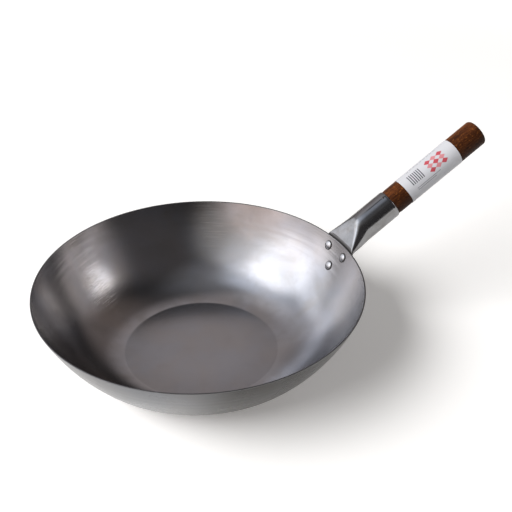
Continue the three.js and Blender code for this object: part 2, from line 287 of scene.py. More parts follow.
def wallCentre(size):
    # centre of the wall's arc, which passes through the rim and runs into the knuckle with no corner
    knuckle = size["knuckleRadius"]
    x, z = size["flatRadius"] - rimRadius, knuckle - bowlHeight
    apart = math.hypot(x, z)
    along = (apart**2 + size["wallRadius"] ** 2 - (size["wallRadius"] - knuckle) ** 2) / (2 * apart)
    across = math.sqrt(size["wallRadius"] ** 2 - along**2)
    return (rimRadius + (x * along + z * across) / apart, bowlHeight + (z * along - x * across) / apart)


wallMiddle = wallCentre(bowlSizes)
rimSlope = math.atan2(rimRadius - wallMiddle[0], wallMiddle[1] - bowlHeight)


def wallNormal(slope):
    return (math.sin(slope), -math.cos(slope))


def rollerOffset(distance):
    depth = 0.0
    for ring in rollerRings:
        depth += ring["depth"] * math.exp(-(((distance - ring["below"]) / ring["width"]) ** 2))
    return depth


def kneeArc(size):
    # the curve from the crease at the flat's edge into the wall: its centre and radius
    slope = size["creaseSlope"]
    across, rise = size["flatRadius"] - wallMiddle[0], wallMiddle[1]
    gap = across * math.sin(slope) + rise * math.cos(slope) - size["wallRadius"]
    radius = (across**2 + rise**2 - size["wallRadius"] ** 2) / (2 * gap)
    centre = (size["flatRadius"] - radius * math.sin(slope), radius * math.cos(slope))
    return centre, radius


def sheetSide(size, depth):
    # one side of the sheet from the middle of the base to just under the rim, depth below the outside
    centre, radius = kneeArc(size)
    meet = math.atan2(centre[0] - wallMiddle[0], wallMiddle[1] - centre[1])
    start = math.acos((centre[1] - depth) / (radius - depth))
    edge = size["rimRound"]
    reach = size["wallRadius"] - depth
    inwards = edge if depth else -edge
    end = math.acos((wallMiddle[1] - bowlHeight + edge) / (reach + inwards))
    rise = slopeArc(centre, radius - depth, start, meet, size["knuckleSteps"])
    corner = rise[0][0]
    soft = size["creaseRound"]
    points = [(0, depth), (0.5 * corner, depth), (corner - 2 * soft, depth), (corner - soft, depth)]
    points += [(corner + 0.1 * soft, depth + 0.05 * soft)] + [p for p in rise if p[0] > corner + soft]
    for k in range(1, size["wallSteps"] + 1):
        slope = meet + (end - meet) * k / size["wallSteps"]
        fade = min(1.0, 3 * (1 - k / size["wallSteps"]))  # the rings die out at the very rim
        near = reach - rollerOffset((end - slope) * size["wallRadius"]) * fade
        points.append((wallMiddle[0] + near * math.sin(slope), wallMiddle[1] - near * math.cos(slope)))
    fillet = (
        wallMiddle[0] + (reach + inwards) * math.sin(end),
        wallMiddle[1] - (reach + inwards) * math.cos(end),
    )
    return points, fillet, end


def bowlProfile(size):
    outside, outerFillet, outerEnd = sheetSide(size, 0.0)
    inside, innerFillet, innerEnd = sheetSide(size, size["sheet"])
    lip = roundedCorner(size["rimRound"], outerFillet, outerEnd - math.pi / 2, math.pi / 2, 5)[1:]
    lip += roundedCorner(size["rimRound"], innerFillet, math.pi / 2, innerEnd + math.pi / 2, 5)
    return outside + lip + inside[-2::-1]


spunLook = {
    "steel": (0.41, 0.41, 0.42),
    "wornAndLit": (0.37, 0.367, 0.367),
    "stain": (0.25, 0.235, 0.235),
    # painted dark reflection, the colour of the darker patches inside
    "paintedDarkReflection": (0.17, 0.17, 0.18),
    "floorEdge": 0.86,  # towards its edge the flat floor darkens to this share
    # the colour of rubbed strokes, and of the painted highlight patches
    "strokeAndHighlight": (0.62, 0.62, 0.62),
    "outside": (0.180, 0.182, 0.187),  # the outside is a duller grey than the inside, and darker still as painted shade
    # painted shade on the outside's front, where it reflects the floor's shadow
    "outsideShade": (0.045, 0.043, 0.040),
    "cutEdge": (0.15, 0.15, 0.152),  # the sheet's edge at the rim
    "warm": (1.0, 0.97, 0.95),  # a faint tint that comes and goes over the steel
    "cool": (0.98, 0.99, 1.02),
    "roughness": 0.20,
    "cloudSpread": 0.08,  # how much the stains dull the gloss
    "ringSpread": 0.05,  # how much the spinning rings vary it
    "ringsPerMetre": 260.0,
    "scratchesPerMetre": 2400.0,
    "strokesPerMetre": 1000.0,
    "ringsSetIn": (0.055, 0.100),  # the flat floor shows no rings, which set in between these radii
    "brokenSetIn": (0.148, 0.158),  # broken rings just under the rim
    "bump": 0.02,
    "reliefDepth": 0.0002,
    "anisotropy": 0.3,
}

# a patch of painted shade on the outside, patches of painted dark reflection and painted highlight inside,
# and patches where rubbing left short bright strokes round the inside
outsideShadePatch = {"x": -0.005, "y": -0.163, "reach": 0.090, "depth": 1.0}
darkReflectionPatches = [
    {"x": 0.093, "y": -0.083, "reach": 0.048, "depth": 0.75},
    {"x": -0.139, "y": 0.044, "reach": 0.046, "depth": 0.7},
]
highlightPatches = [
    {"x": -0.127, "y": 0.100, "reach": 0.036, "depth": 0.9},
    {"x": 0.150, "y": -0.066, "reach": 0.036, "depth": 0.4},
]
rubMarks = [
    {"x": -0.0755, "y": 0.115, "reach": 0.025, "depth": 1.0},
    {"x": -0.084, "y": 0.147, "reach": 0.024, "depth": 0.8},
    {"x": 0.085, "y": 0.145, "reach": 0.032, "depth": 0.4},
]


def spunSteel(look):
    material, sheet, shader = newFinish("spunSteel")
    place = sheet.place()
    parts = sheet.parts(place)
    flat = sheet.joined(parts["X"], parts["Y"])
    radius = sheet.vector("LENGTH", flat)
    way = sheet.parts(sheet.vector("NORMALIZE", flat))
    reach = sheet.math("ADD", radius, parts["Z"])  # grows along the section, so rings stay even on the wall

    def ringNoise(perMetre, turnDetail, *kind):
        # noise that runs round the bowl in rings and changes slowly along them
        turned = [sheet.math("MULTIPLY", way[axis], turnDetail) for axis in "XY"]
        return sheet.noise(sheet.joined(sheet.math("MULTIPLY", reach, perMetre), *turned), 1.0, *kind)

    def patch(mark):
        apart = sheet.vector("LENGTH", sheet.vector("SUBTRACT", flat, (mark["x"], mark["y"], 0.0)))
        return sheet.ramp(apart, 0.3 * mark["reach"], mark["reach"], mark["depth"], 0.0)

    rings = ringNoise(look["ringsPerMetre"], 2.0, 4.0, 0.6)
    scratches = ringNoise(look["scratchesPerMetre"], 9.0, 2.0, 0.7)
    offFloor = sheet.ramp(radius, *look["ringsSetIn"])
    clouds = sheet.ramp(ringNoise(24.0, 3.0, 4.0, 0.6, 0.5), 0.40, 0.68)
    clouds = sheet.math("MULTIPLY", clouds, offFloor)
    blots = sheet.ramp(sheet.noise(place, 48.0, 4.0, 0.62, 0.8), 0.50, 0.74)
    strokes = sheet.ramp(ringNoise(look["strokesPerMetre"], 5.0, 1.0, 0.5), 0.55, 0.64)
    strokes = sheet.math("MULTIPLY", strokes, sheet.most([patch(mark) for mark in rubMarks]))
    broken = sheet.ramp(ringNoise(330.0, 5.0, 2.0, 0.5), 0.45, 0.65)
    broken = sheet.math("MULTIPLY", broken, sheet.ramp(radius, *look["brokenSetIn"]))

    tone = sheet.mix(clouds, look["steel"], look["wornAndLit"])
    tone = sheet.mix(sheet.math("MULTIPLY", blots, 0.1), tone, look["stain"])
    # painted dark reflection in patches on the inside wall
    for mark in darkReflectionPatches:
        tone = sheet.mix(patch(mark), tone, look["paintedDarkReflection"])
    # painted highlight in patches on the inside wall
    for mark in highlightPatches:
        tone = sheet.mix(patch(mark), tone, look["strokeAndHighlight"])
    flatEdge = bowlSizes["flatRadius"]
    shade = sheet.ramp(radius, 0.4 * flatEdge, 0.98 * flatEdge, 1.0, look["floorEdge"])
    onFlat = sheet.ramp(radius, 0.99 * flatEdge, 1.01 * flatEdge, 1.0, 0.0)
    shaded = sheet.mix(1.0, tone, sheet.joined(shade, shade, shade), "MULTIPLY")
    tone = sheet.mix(onFlat, tone, shaded)
    tone = sheet.mix(sheet.math("MULTIPLY", strokes, 0.7), tone, look["strokeAndHighlight"])
    # the downward-facing outside: a duller grey that is partly painted shade, with a painted shade patch in
    # front
    facing = sheet.parts(sheet.add("ShaderNodeNewGeometry").outputs["Normal"])["Z"]
    outer = sheet.ramp(facing, -0.25, 0.1, 1.0, 0.0)
    dull = sheet.mix(patch(outsideShadePatch), look["outside"], look["outsideShade"])
    tone = sheet.mix(outer, tone, dull)
    heat = sheet.ramp(sheet.noise(place, 15.0, 3.0, 0.55, 0.6), 0.36, 0.64)
    tint = sheet.mix(heat, look["warm"], look["cool"])
    tone = sheet.mix(1.0, tone, tint, "MULTIPLY")
    cut = sheet.ramp(parts["Z"], bowlHeight - 0.0006, bowlHeight - 0.0003)
    tone = sheet.mix(cut, tone, look["cutEdge"])

    gloss = sheet.math("MULTIPLY", rings, look["ringSpread"])
    for layer, spread in ((clouds, 0.35), (blots, 0.12), (strokes, 1.0), (cut, 3.0), (outer, 0.9)):
        gloss = sheet.math("ADD", gloss, sheet.math("MULTIPLY", layer, spread * look["cloudSpread"]))
    relief = None
    fine = sheet.math("MULTIPLY", sheet.math("ADD", rings, scratches), offFloor)
    for height, strength in ((fine, look["bump"]), (broken, 0.05), (strokes, 0.2)):
        relief = sheet.bump(height, strength, look["reliefDepth"], relief)
    finish = {
        "Base Color": tone,
        "Metallic": 1.0,
        "Roughness": sheet.math("ADD", gloss, look["roughness"] - look["ringSpread"] / 2),
        "Normal": relief,
        "Anisotropic": look["anisotropy"],
        "Tangent": sheet.add("ShaderNodeTangent", direction_type="RADIAL", axis="Z").outputs[0],
    }
    sheet.fill(shader, finish)
    return material


bowlMesh = turnedMesh("bowl", bowlProfile(bowlSizes), bowlSizes["sides"], spunSteel(spunLook))
bowl = linkPiece("bowl", bowlMesh, sharpAngle)
finishPiece(bowl, "spun_steel", "wok_bowl")
print("bowl turned")

# Rivets: one set of three, placed on the wall and turned along its normals

rivetSizes = {
    "upperDrop": 0.010,
    "lowerDrop": 0.0266,
    "spacing": 0.0304,
    "headRadius": 0.0056,
    "headHeight": 0.0026,
    "tailRadius": 0.0042,
    "tailHeight": 0.002,
    "shankRadius": 0.0025,
    "sides": 40,
    "rings": 24,
    "sunk": 0.0002,  # how far a head's rim sinks into the sheet, so that no light shows under it
}
socketSheet = 0.0012
seatGap = 0.0003  # between pieces that rest on each other
stackThickness = bowlSizes["sheet"] + 2 * socketSheet + seatGap  # bowl, tang and the gap between them


def rivetSeat(drop, turn):
    # the rivet's point on the bowl's inside and the way out through the wall
    inner = bowlSizes["wallRadius"] - bowlSizes["sheet"]
    slope = math.acos((wallMiddle[1] - bowlHeight + drop) / inner)
    out, down = wallNormal(slope)
    radius = wallMiddle[0] + inner * out
    point = (radius * math.cos(turn), radius * math.sin(turn), bowlHeight - drop)
    return point, (out * math.cos(turn), out * math.sin(turn), down), radius, slope


def rivetTree(size):
    values = {
        "Head Radius": size["headRadius"],
        "Head Height": size["headHeight"],
        "Tail Radius": size["tailRadius"],
        "Tail Height": size["tailHeight"],
        "Shank Radius": size["shankRadius"],
        "Grip Length": stackThickness,
        "Sunk": size["sunk"],
    }
    inputs = {"Seats": "Geometry", **dict.fromkeys(values, "Float"), "Finish": "Material"}
    tree, sockets = newTree("setRivets", inputs, "Rivets")
    sheet = NodeSheet(tree)
    start = sheet.add("NodeGroupInput").outputs

    def dome(radius, height, base, up):
        # a ball whose lower half is pressed flat, scaled to a low dome that points up or down
        ball = sheet.add(
            "GeometryNodeMeshUVSphere", {"Segments": size["sides"], "Rings": size["rings"], "Radius": 1.0}
        )
        spot = sheet.parts(sheet.add("GeometryNodeInputPosition").outputs[0])
        raised = sheet.math("MULTIPLY", sheet.math("MAXIMUM", spot["Z"], 0.0), height)
        raised = sheet.math("ADD" if up else "SUBTRACT", base, raised)
        placed = sheet.joined(*[sheet.math("MULTIPLY", spot[axis], radius) for axis in "XY"], raised)
        squares = [sheet.math("MULTIPLY", spot[axis], spot[axis]) for axis in "XY"]
        reach = sheet.math("SQRT", sheet.math("ADD", *squares))
        marked = sheet.add(
            "GeometryNodeStoreNamedAttribute",
            {"Geometry": ball.outputs["Mesh"], "Name": "reach", "Value": reach},
            data_type="FLOAT",
            domain="POINT",
        )
        return sheet.add(
            "GeometryNodeSetPosition", {"Geometry": marked.outputs[0], "Position": placed}
        ).outputs[0]

    head = dome(start["Head Radius"], start["Head Height"], start["Sunk"], False)
    tailBase = sheet.math("SUBTRACT", start["Grip Length"], start["Sunk"])
    tail = dome(start["Tail Radius"], start["Tail Height"], tailBase, True)
    shank = sheet.add(
        "GeometryNodeMeshCylinder",
        {"Vertices": size["sides"], "Radius": start["Shank Radius"], "Depth": start["Grip Length"]},
    )
    lift = sheet.joined(0.0, 0.0, sheet.math("MULTIPLY", start["Grip Length"], 0.5))
    lifted = sheet.add("GeometryNodeTransform", {"Geometry": shank.outputs["Mesh"], "Translation": lift})
    joined = sheet.add("GeometryNodeJoinGeometry")
    for part in (tail, lifted.outputs[0], head):
        tree.links.new(part, joined.inputs[0])
    way = sheet.add("GeometryNodeInputNamedAttribute", {"Name": "way"}, data_type="FLOAT_VECTOR")
    turn = sheet.add("FunctionNodeAlignRotationToVector", {"Vector": way.outputs[0]}, axis="Z")
    points = sheet.add("GeometryNodeMeshToPoints", {"Mesh": start["Seats"]})
    spread = sheet.add(
        "GeometryNodeInstanceOnPoints",
        {"Points": points.outputs[0], "Instance": joined.outputs[0], "Rotation": turn.outputs[0]},
    )
    endTree(sheet, spread.outputs[0], start["Finish"])
    values["Finish"] = rivetSteel(rivetLook)
    return tree, {sockets[name]: value for name, value in values.items()}


rivetLook = {
    "steel": (0.48, 0.48, 0.49),
    "dull": (0.38, 0.38, 0.39),
    # painted shade, a dark line round each head's edge
    "paintedShade": (0.035, 0.033, 0.032),
    "shadeFrom": 0.77,  # share of the head's radius where the painted shade at its edge begins
    "roughness": 0.27,
}


def rivetSteel(look):
    material, sheet, shader = newFinish("rivetSteel")
    marks = sheet.noise(sheet.place(), 900.0, 3.0, 0.6)
    tone = sheet.mix(sheet.ramp(marks, 0.35, 0.75), look["steel"], look["dull"])
    # painted shade: a near-black, non-metal line round each head's edge
    reach = sheet.add("ShaderNodeAttribute", attribute_name="reach").outputs["Fac"]
    rim = sheet.ramp(reach, look["shadeFrom"], look["shadeFrom"] + 0.07)
    tone = sheet.mix(rim, tone, look["paintedShade"])
    rough = sheet.ramp(marks, 0.3, 0.8, look["roughness"] - 0.05, look["roughness"] + 0.1)
    sheet.fill(shader, {"Base Color": tone, "Metallic": sheet.math("SUBTRACT", 1.0, rim), "Roughness": rough})
    return material


def setRivets(size):
    upperRadius = rivetSeat(size["upperDrop"], 0)[2]
    upperTurn = math.asin(size["spacing"] / 2 / upperRadius)
    seats = [
        rivetSeat(size["upperDrop"], upperTurn),
        rivetSeat(size["upperDrop"], -upperTurn),
        rivetSeat(size["lowerDrop"], 0),
    ]
    mesh = bpy.data.meshes.new("rivetSeats")
    mesh.from_pydata([seat[0] for seat in seats], [], [])
    ways = mesh.attributes.new("way", "FLOAT_VECTOR", "POINT")
    for k, seat in enumerate(seats):
        ways.data[k].vector = seat[1]
    return linkPiece("rivets", grownMesh("rivets", mesh, *rivetTree(size)), sharpAngle)


rivets = setRivets(rivetSizes)
finishPiece(rivets, "rivet_steel", "rivet_upper_left", "rivet_upper_right", "rivet_lower")
print("rivets set")

# Handle: the line that the socket, grip, sleeve and nail share

handleSizes = {
    "tilt": math.radians(29.5),
    "bendDrop": 0.0034,
    "bendRadius": 0.008,
    "flareLength": 0.024,  # from the bend to the round tube
    "flareBlend": 0.004,  # before and after that point, the flare eases into the tube
    "tubeLength": 0.0424,
    "crimpLength": 0.003,
}
flareEnd = handleSizes["flareLength"] + handleSizes["flareBlend"]
crimpStart = handleSizes["flareLength"] + handleSizes["tubeLength"]
mouth = crimpStart + handleSizes["crimpLength"]


def stepTo(point, way, distance):
    return (point[0] + way[0] * distance, point[1] + way[1] * distance)


tangMiddle = bowlSizes["wallRadius"] + seatGap + socketSheet
bendSlope = rimSlope - handleSizes["bendDrop"] / bowlSizes["wallRadius"]
bendMiddle = stepTo(wallMiddle, wallNormal(bendSlope), tangMiddle + handleSizes["bendRadius"])
axisStart = stepTo(bendMiddle, wallNormal(handleSizes["tilt"]), -handleSizes["bendRadius"])
handleFrame = Matrix.Translation((axisStart[0], 0, axisStart[1])) @ Matrix.Rotation(
    math.pi / 2 - handleSizes["tilt"], 4, "Y"
)


def handleWay(turn):
    # square to the handle, this far round from its top towards the far side
    return handleFrame.to_3x3() @ Vector((-math.cos(turn), math.sin(turn), 0))



# Socket: a tube pressed flat at its inner end, bent down and laid on the wall

socketSizes = {
    "radius": 0.0169,
    "mouthRadius": 0.0164,
    "tangShoulder": 0.014,
    "tangEndRadius": 0.009,
    "flatOpening": math.radians(4),
    "flatSteps": 16,
    "sideSteps": 44,
    "bendSteps": 12,
    "flareSteps": 30,
    "tangSteps": 14,
    "crimpSteps": 24,
    "tubeSteps": 24,
    "lipSteps": 5,
    "lip": 0.0004,  # the rounding of the sheet's edge at the mouth
    "bead": 0.00016,  # a low bead round the mouth
    "beadWidth": 0.0004,
    "boreDepth": 0.0325,  # how far back the hollow shows behind the grip
    "seamTurn": math.radians(100),  # the sheet's butt seam, a little past the top
    "seamHalf": math.radians(1.5),
    "seamDepth": 0.0005,
    "seamStart": 0.038,  # from here to the mouth the seam stands open
    "seamRun": 0.006,  # it opens over this length
}
flatHalfWidth = (math.pi / 2) * (socketSizes["radius"] - socketSheet / 2)

# shallow dents that pressing left in the flare's upper flat: along the axis, across it, reach and depth
pressDents = [
    {"along": 0.010, "across": -0.005, "reach": 0.006, "depth": 0.0005},
    {"along": 0.007, "across": 0.013, "reach": 0.007, "depth": -0.00035},
]


def wallStation(distance):
    normal = wallNormal(rimSlope - distance / bowlSizes["wallRadius"])
    return stepTo(wallMiddle, normal, tangMiddle), normal


def axisStation(distance):
    way = (math.cos(handleSizes["tilt"]), math.sin(handleSizes["tilt"]))
    return stepTo(axisStart, way, distance), wallNormal(handleSizes["tilt"])


def sectionTurns(size):
    turns = []
    side = math.pi - 2 * size["flatOpening"]
    for flat in (math.pi / 2, 1.5 * math.pi):
        for k in range(size["flatSteps"]):
            turns.append(flat + size["flatOpening"] * (2 * k / size["flatSteps"] - 1))
        for k in range(size["sideSteps"]):
            turns.append(flat + size["flatOpening"] + side * k / size["sideSteps"])
    clear = 1.6 * size["seamHalf"]
    turns = [turn for turn in turns if abs(turn - size["seamTurn"]) > clear]
    turns += [size["seamTurn"] + share * size["seamHalf"] for share in (-1.3, -1, -0.45, 0, 0.45, 1, 1.3)]
    return sorted(turns)


socketTurns = sectionTurns(socketSizes)


def sectionRing(station, roundness, halfWidth, wrap, seam=0.0):
    # one ring: round sides opened by a flat above and below, bowed with the wall where wrap is 1
    (point, normal), ring = station, []
    for turn in socketTurns:
        opened = max(-1.0, min(1.0, math.cos(turn) / math.sin(socketSizes["flatOpening"])))
        off = abs(turn - socketSizes["seamTurn"]) / socketSizes["seamHalf"]
        level = roundness - seam * socketSizes["seamDepth"] * max(0.0, 1.0 - off) ** 0.6
        across = level * math.cos(turn) + (halfWidth - roundness) * opened
        radius, height = stepTo(point, normal, -level * math.sin(turn))
        bowed = radius - math.sqrt(radius**2 - across**2)
        ring.append((radius - wrap * bowed, across, height))
    return ring


def tangRings(size):
    slopeLow = rivetSeat(rivetSizes["lowerDrop"], 0)[3]
    lowest = (rimSlope - slopeLow) * bowlSizes["wallRadius"]
    fall = lowest - size["tangShoulder"]
    slant = math.hypot(fall, flatHalfWidth)
    edge = math.atan2(flatHalfWidth, fall) - math.asin(size["tangEndRadius"] / slant)
    touch = math.pi / 2 - edge
    tip = math.asin(1.2 * socketSheet / size["tangEndRadius"])
    outline = []
    for k in range(size["tangSteps"] + 1):
        turn = tip + (touch - tip) * k / size["tangSteps"]
        outline.append(
            (lowest + size["tangEndRadius"] * math.cos(turn), size["tangEndRadius"] * math.sin(turn))
        )
    drop, halfWidth = outline[-1]
    for k in range(1, size["tangSteps"] + 1):
        share = k / size["tangSteps"]
        outline.append(
            (drop + (size["tangShoulder"] - drop) * share, halfWidth + (flatHalfWidth - halfWidth) * share)
        )
    return [sectionRing(wallStation(drop), socketSheet, width, 1) for drop, width in outline]


bendTurn = bendSlope - handleSizes["tilt"]


def bendRound(turn):
    # half the tube's height once it has bent by that much: its upper side runs straight on from the wall
    return (socketSheet + handleSizes["bendRadius"] * (1 - math.cos(turn))) / math.cos(turn)


def flareRound(distance, size):
    # half the tube's height along the flare, which opens evenly and then eases into the tube
    flare, blend = handleSizes["flareLength"], handleSizes["flareBlend"]
    eased = max(distance - flare + blend, 0.0)
    share = (distance - eased**2 / (4 * blend)) / flare
    return bendRound(bendTurn) + (size["radius"] - bendRound(bendTurn)) * share


def widthAt(roundness, size):
    # half the tube's width by half its height: the girth stays as it is
    opened = (roundness - socketSheet) / (size["radius"] - socketSheet)
    return flatHalfWidth + (size["radius"] - flatHalfWidth) * opened


def bendRings(size):
    rings = []
    for k in range(size["bendSteps"]):
        turn = bendTurn * k / size["bendSteps"]
        normal = wallNormal(bendSlope - turn)
        station = (stepTo(bendMiddle, normal, -handleSizes["bendRadius"]), normal)
        rings.append(sectionRing(station, bendRound(turn), widthAt(bendRound(turn), size), 1))
    return rings


def dented(point, distance, turn):
    # only the upper side is pressed, and the dents fade towards the edges
    up = max(0.0, math.sin(turn)) ** 8
    sink = 0.0
    for dent in pressDents:
        apart = math.hypot(distance - dent["along"], point[1] - dent["across"]) / dent["reach"]
        sink += up * dent["depth"] * math.exp(-(apart**2))
    out, down = wallNormal(handleSizes["tilt"])
    return (point[0] + out * sink, point[1], point[2] + down * sink)


def flareRings(size):
    rings = []
    for k in range(size["flareSteps"]):
        distance = flareEnd * k / size["flareSteps"]
        roundness = flareRound(distance, size)
        wrap = max(1 - distance / handleSizes["flareLength"], 0.0) ** 2
        ring = sectionRing(axisStation(distance), roundness, widthAt(roundness, size), wrap)
        rings.append([dented(point, distance, turn) for point, turn in zip(ring, socketTurns)])
    return rings


def tubeRings(size):
    # round tube, its mouth rolled in, the sheet's edge, and back down the bore
    drawn = []
    for k in range(size["tubeSteps"] + 1):
        distance = flareEnd + (crimpStart - flareEnd) * k / size["tubeSteps"]
        drawn.append((distance, size["radius"]))
    rollEnd = handleSizes["crimpLength"] - size["lip"]
    for k in range(1, size["crimpSteps"] + 1):
        share = k / size["crimpSteps"]
        rolled = (size["mouthRadius"] - size["radius"]) * share**2
        short = rollEnd * (1 - share) / size["beadWidth"]
        rolled += size["bead"] * math.exp(-((short - 1) ** 2))
        drawn.append((crimpStart + rollEnd * share, size["radius"] + rolled))
    edge = drawn[-1][1] - size["lip"]
    for k in range(1, size["lipSteps"] + 1):
        turn = math.pi / 2 * k / size["lipSteps"]
        drawn.append((mouth + size["lip"] * (math.sin(turn) - 1), edge + size["lip"] * math.cos(turn)))
    outer = len(drawn)
    drawn.append((mouth, size["mouthRadius"] - socketSheet))
    drawn.append((crimpStart, size["radius"] - socketSheet))
    drawn.append((mouth - size["boreDepth"], size["radius"] - socketSheet))
    rings = []
    for k, (distance, radius) in enumerate(drawn):
        opening = max(0.0, min(1.0, (distance - size["seamStart"]) / size["seamRun"])) if k < outer else 0.0
        rings.append(sectionRing(axisStation(distance), radius, radius, 0, opening))
    return rings


socketLook = {
    "steel": (0.27, 0.27, 0.275),
    "smudge": (0.21, 0.205, 0.20),
    # painted shade, for the line in the bend and the band beside the seam
    "paintedShade": (0.03, 0.028, 0.027),
    "shadeReach": 0.0016,  # the painted shade in the bend, a dark line measured out from the rim
    "darkBandTurn": math.radians(20),  # a band of painted dark reflection beside the seam, this far past the top
    "darkBandShare": 0.5,
    "roughness": 0.19,
}


def socketSteel(look):
    material, sheet, shader = newFinish("socketSteel")
    place = sheet.place()
    rolled = sheet.add(
        "ShaderNodeMapping",
        {"Vector": place, "Rotation": (0, handleSizes["tilt"], 0), "Scale": (20, 700, 700)},
    )
    lines = sheet.noise(rolled.outputs[0], 1.0, 3.0, 0.6)
    smudges = sheet.noise(place, 60.0, 3.0, 0.6)
    tone = sheet.mix(sheet.ramp(smudges, 0.4, 0.75), look["steel"], look["smudge"])
    spot = sheet.parts(place)
    out = sheet.vector("LENGTH", sheet.joined(spot["X"], spot["Y"]))
    # painted shade: a dark line in the bend just outside the rim
    nearRim = sheet.ramp(out, rimRadius + 0.3 * look["shadeReach"], rimRadius + look["shadeReach"], 1.0, 0.0)
    above = sheet.ramp(spot["Z"], bowlHeight - 0.008, bowlHeight - 0.005)
    paintedShade = sheet.math("MULTIPLY", nearRim, above)
    tone = sheet.mix(paintedShade, tone, look["paintedShade"])
    # painted dark reflection: a darker band beside the seam along the tube
    fromAxis = sheet.vector("SUBTRACT", place, handleFrame.translation)
    beside = sheet.vector("DOT_PRODUCT", fromAxis, handleWay(-look["darkBandTurn"]))
    beside = sheet.ramp(beside, 0.93 * socketSizes["radius"], 0.995 * socketSizes["radius"])
    along = sheet.vector("DOT_PRODUCT", fromAxis, handleFrame.to_3x3() @ Vector((0, 0, 1)))
    dull = sheet.ramp(along, handleSizes["flareLength"], socketSizes["seamStart"])
    dull = sheet.math("MULTIPLY", sheet.math("MULTIPLY", beside, dull), look["darkBandShare"])
    tone = sheet.mix(dull, tone, look["paintedShade"])
    rough = sheet.math("ADD", sheet.math("MULTIPLY", lines, 0.08), sheet.math("MULTIPLY", smudges, 0.10))
    finish = {
        "Base Color": tone,
        "Metallic": sheet.math("SUBTRACT", 1.0, paintedShade),
        "Roughness": sheet.math("ADD", rough, look["roughness"] - 0.09),
        "Normal": sheet.bump(lines, 0.04, 0.0002),
    }
    sheet.fill(shader, finish)
    return material


def makeSocket(size):
    rings = tangRings(size) + bendRings(size) + flareRings(size) + tubeRings(size)
    mesh = outwards(ringMesh("socket", rings))
    mesh.materials.append(socketSteel(socketLook))
    return linkPiece("socket", mesh, sharpAngle)


socket = makeSocket(socketSizes)
finishPiece(socket, "socket_steel", "handle_socket")
print("socket formed")

# Grip: turned from dark stained wood, with a rounded end and a spigot inside the socket

gripSizes = {
    "radius": 0.0156,
    "endRadius": 0.0158,
    "length": 0.1324,
    "endRound": 0.004,
    "spigotRadius": 0.0154,
    "spigotLength": 0.032,
    "waist": 0.0149,
    "bevel": 0.0004,
    "short": 0.0001,  # the end stops this much inside the solid's end
    "steps": 25,
    "sides": 96,
    "sharpAngle": math.radians(40),
}
gripEnd = mouth + gripSizes["length"]


def gripRadiusAt(distance):
    share = (distance - mouth) / gripSizes["length"]
    return gripSizes["radius"] + (gripSizes["endRadius"] - gripSizes["radius"]) * share


def gripProfile(size):
    foot = mouth - size["spigotLength"]
    shoulder = mouth + seatGap / 3
    start = shoulder + size["bevel"]
    end = gripEnd - size["short"]
    roundStart = end - size["endRound"]
    endMiddle = (gripRadiusAt(roundStart) - size["endRound"], roundStart)
    points = [(0, foot), (size["spigotRadius"], foot), (size["spigotRadius"], crimpStart)]
    points += [(size["waist"], mouth), (size["waist"], shoulder), (size["radius"] - size["bevel"], shoulder)]
    for k in range(1, size["steps"]):
        distance = start + (roundStart - start) * k / size["steps"]
        points.append((gripRadiusAt(distance), distance))
    points += roundedCorner(size["endRound"], endMiddle, 0, math.pi / 2, 12)
    return points + [(0, end)]


woodLook = {
    "dark": (0.022, 0.0075, 0.0035),
    "middle": (0.072, 0.023, 0.008),
    "light": (0.16, 0.054, 0.017),
    "amber": (0.26, 0.09, 0.02),
    "litTurn": math.radians(40),  # painted light and shade: the side this far past the top is lighter, the opposite side darker
    # painted light on the lit side and painted shade on the other, as multipliers of the wood's colour
    "wornAndLit": (1.6, 1.5, 1.4),
    "shadedSide": (0.52, 0.52, 0.55),
    "roughness": 0.48,
    "gloss": 0.09,
    "grainAlong": 16.0,
    "grainAcross": 260.0,
}


def stainedWood(look):
    material, sheet, shader = newFinish("stainedWood")
    place = sheet.place()
    tilted = {"Vector": place, "Rotation": (0, handleSizes["tilt"], 0)}
    turned = sheet.add("ShaderNodeMapping", tilted).outputs[0]

    def grainNoise(along, across, *kind):
        stretched = sheet.add("ShaderNodeMapping", {"Vector": turned, "Scale": (along, across, across)})
        return sheet.noise(stretched.outputs[0], 1.0, *kind)

    grain = grainNoise(look["grainAlong"], look["grainAcross"], 4.0, 0.62, 0.6)
    broad = grainNoise(14.0, 60.0, 2.0, 0.5, 0.3)
    pores = sheet.ramp(grainNoise(190.0, 1100.0, 2.0, 0.6), 0.54, 0.66)
    flecks = grainNoise(330.0, 620.0, 2.0, 0.55)
    mottle = sheet.noise(place, 900.0, 3.0, 0.65)
    tone = sheet.mix(sheet.ramp(broad, 0.32, 0.68), look["dark"], look["middle"])
    tone = sheet.mix(sheet.ramp(grain, 0.36, 0.80, 0.0, 0.7), tone, look["light"])
    tone = sheet.mix(sheet.ramp(flecks, 0.56, 0.70, 0.0, 0.6), tone, look["amber"])
    tone = sheet.mix(sheet.math("MULTIPLY", pores, 0.8), tone, look["dark"])
    tone = sheet.mix(sheet.ramp(mottle, 0.47, 0.66, 0.0, 0.62), tone, look["dark"])
    # painted light and shade: lighter towards the lit side, darker away from it
    fromAxis = sheet.vector("SUBTRACT", place, handleFrame.translation)
    toLitSide = sheet.vector("DOT_PRODUCT", fromAxis, handleWay(look["litTurn"]))
    shade = sheet.mix(sheet.ramp(toLitSide, -0.009, 0.014), look["shadedSide"], look["wornAndLit"])
    height = sheet.math("SUBTRACT", sheet.math("MULTIPLY", grain, 0.4), pores)
    finish = {
        "Base Color": sheet.mix(1.0, tone, shade, "MULTIPLY"),
        "Roughness": sheet.ramp(grain, 0.2, 0.8, look["roughness"] - 0.06, look["roughness"] + 0.1),
        "Specular IOR Level": look["gloss"],
        "Normal": sheet.bump(height, 0.25, 0.0003),
    }
    sheet.fill(shader, finish)
    return material


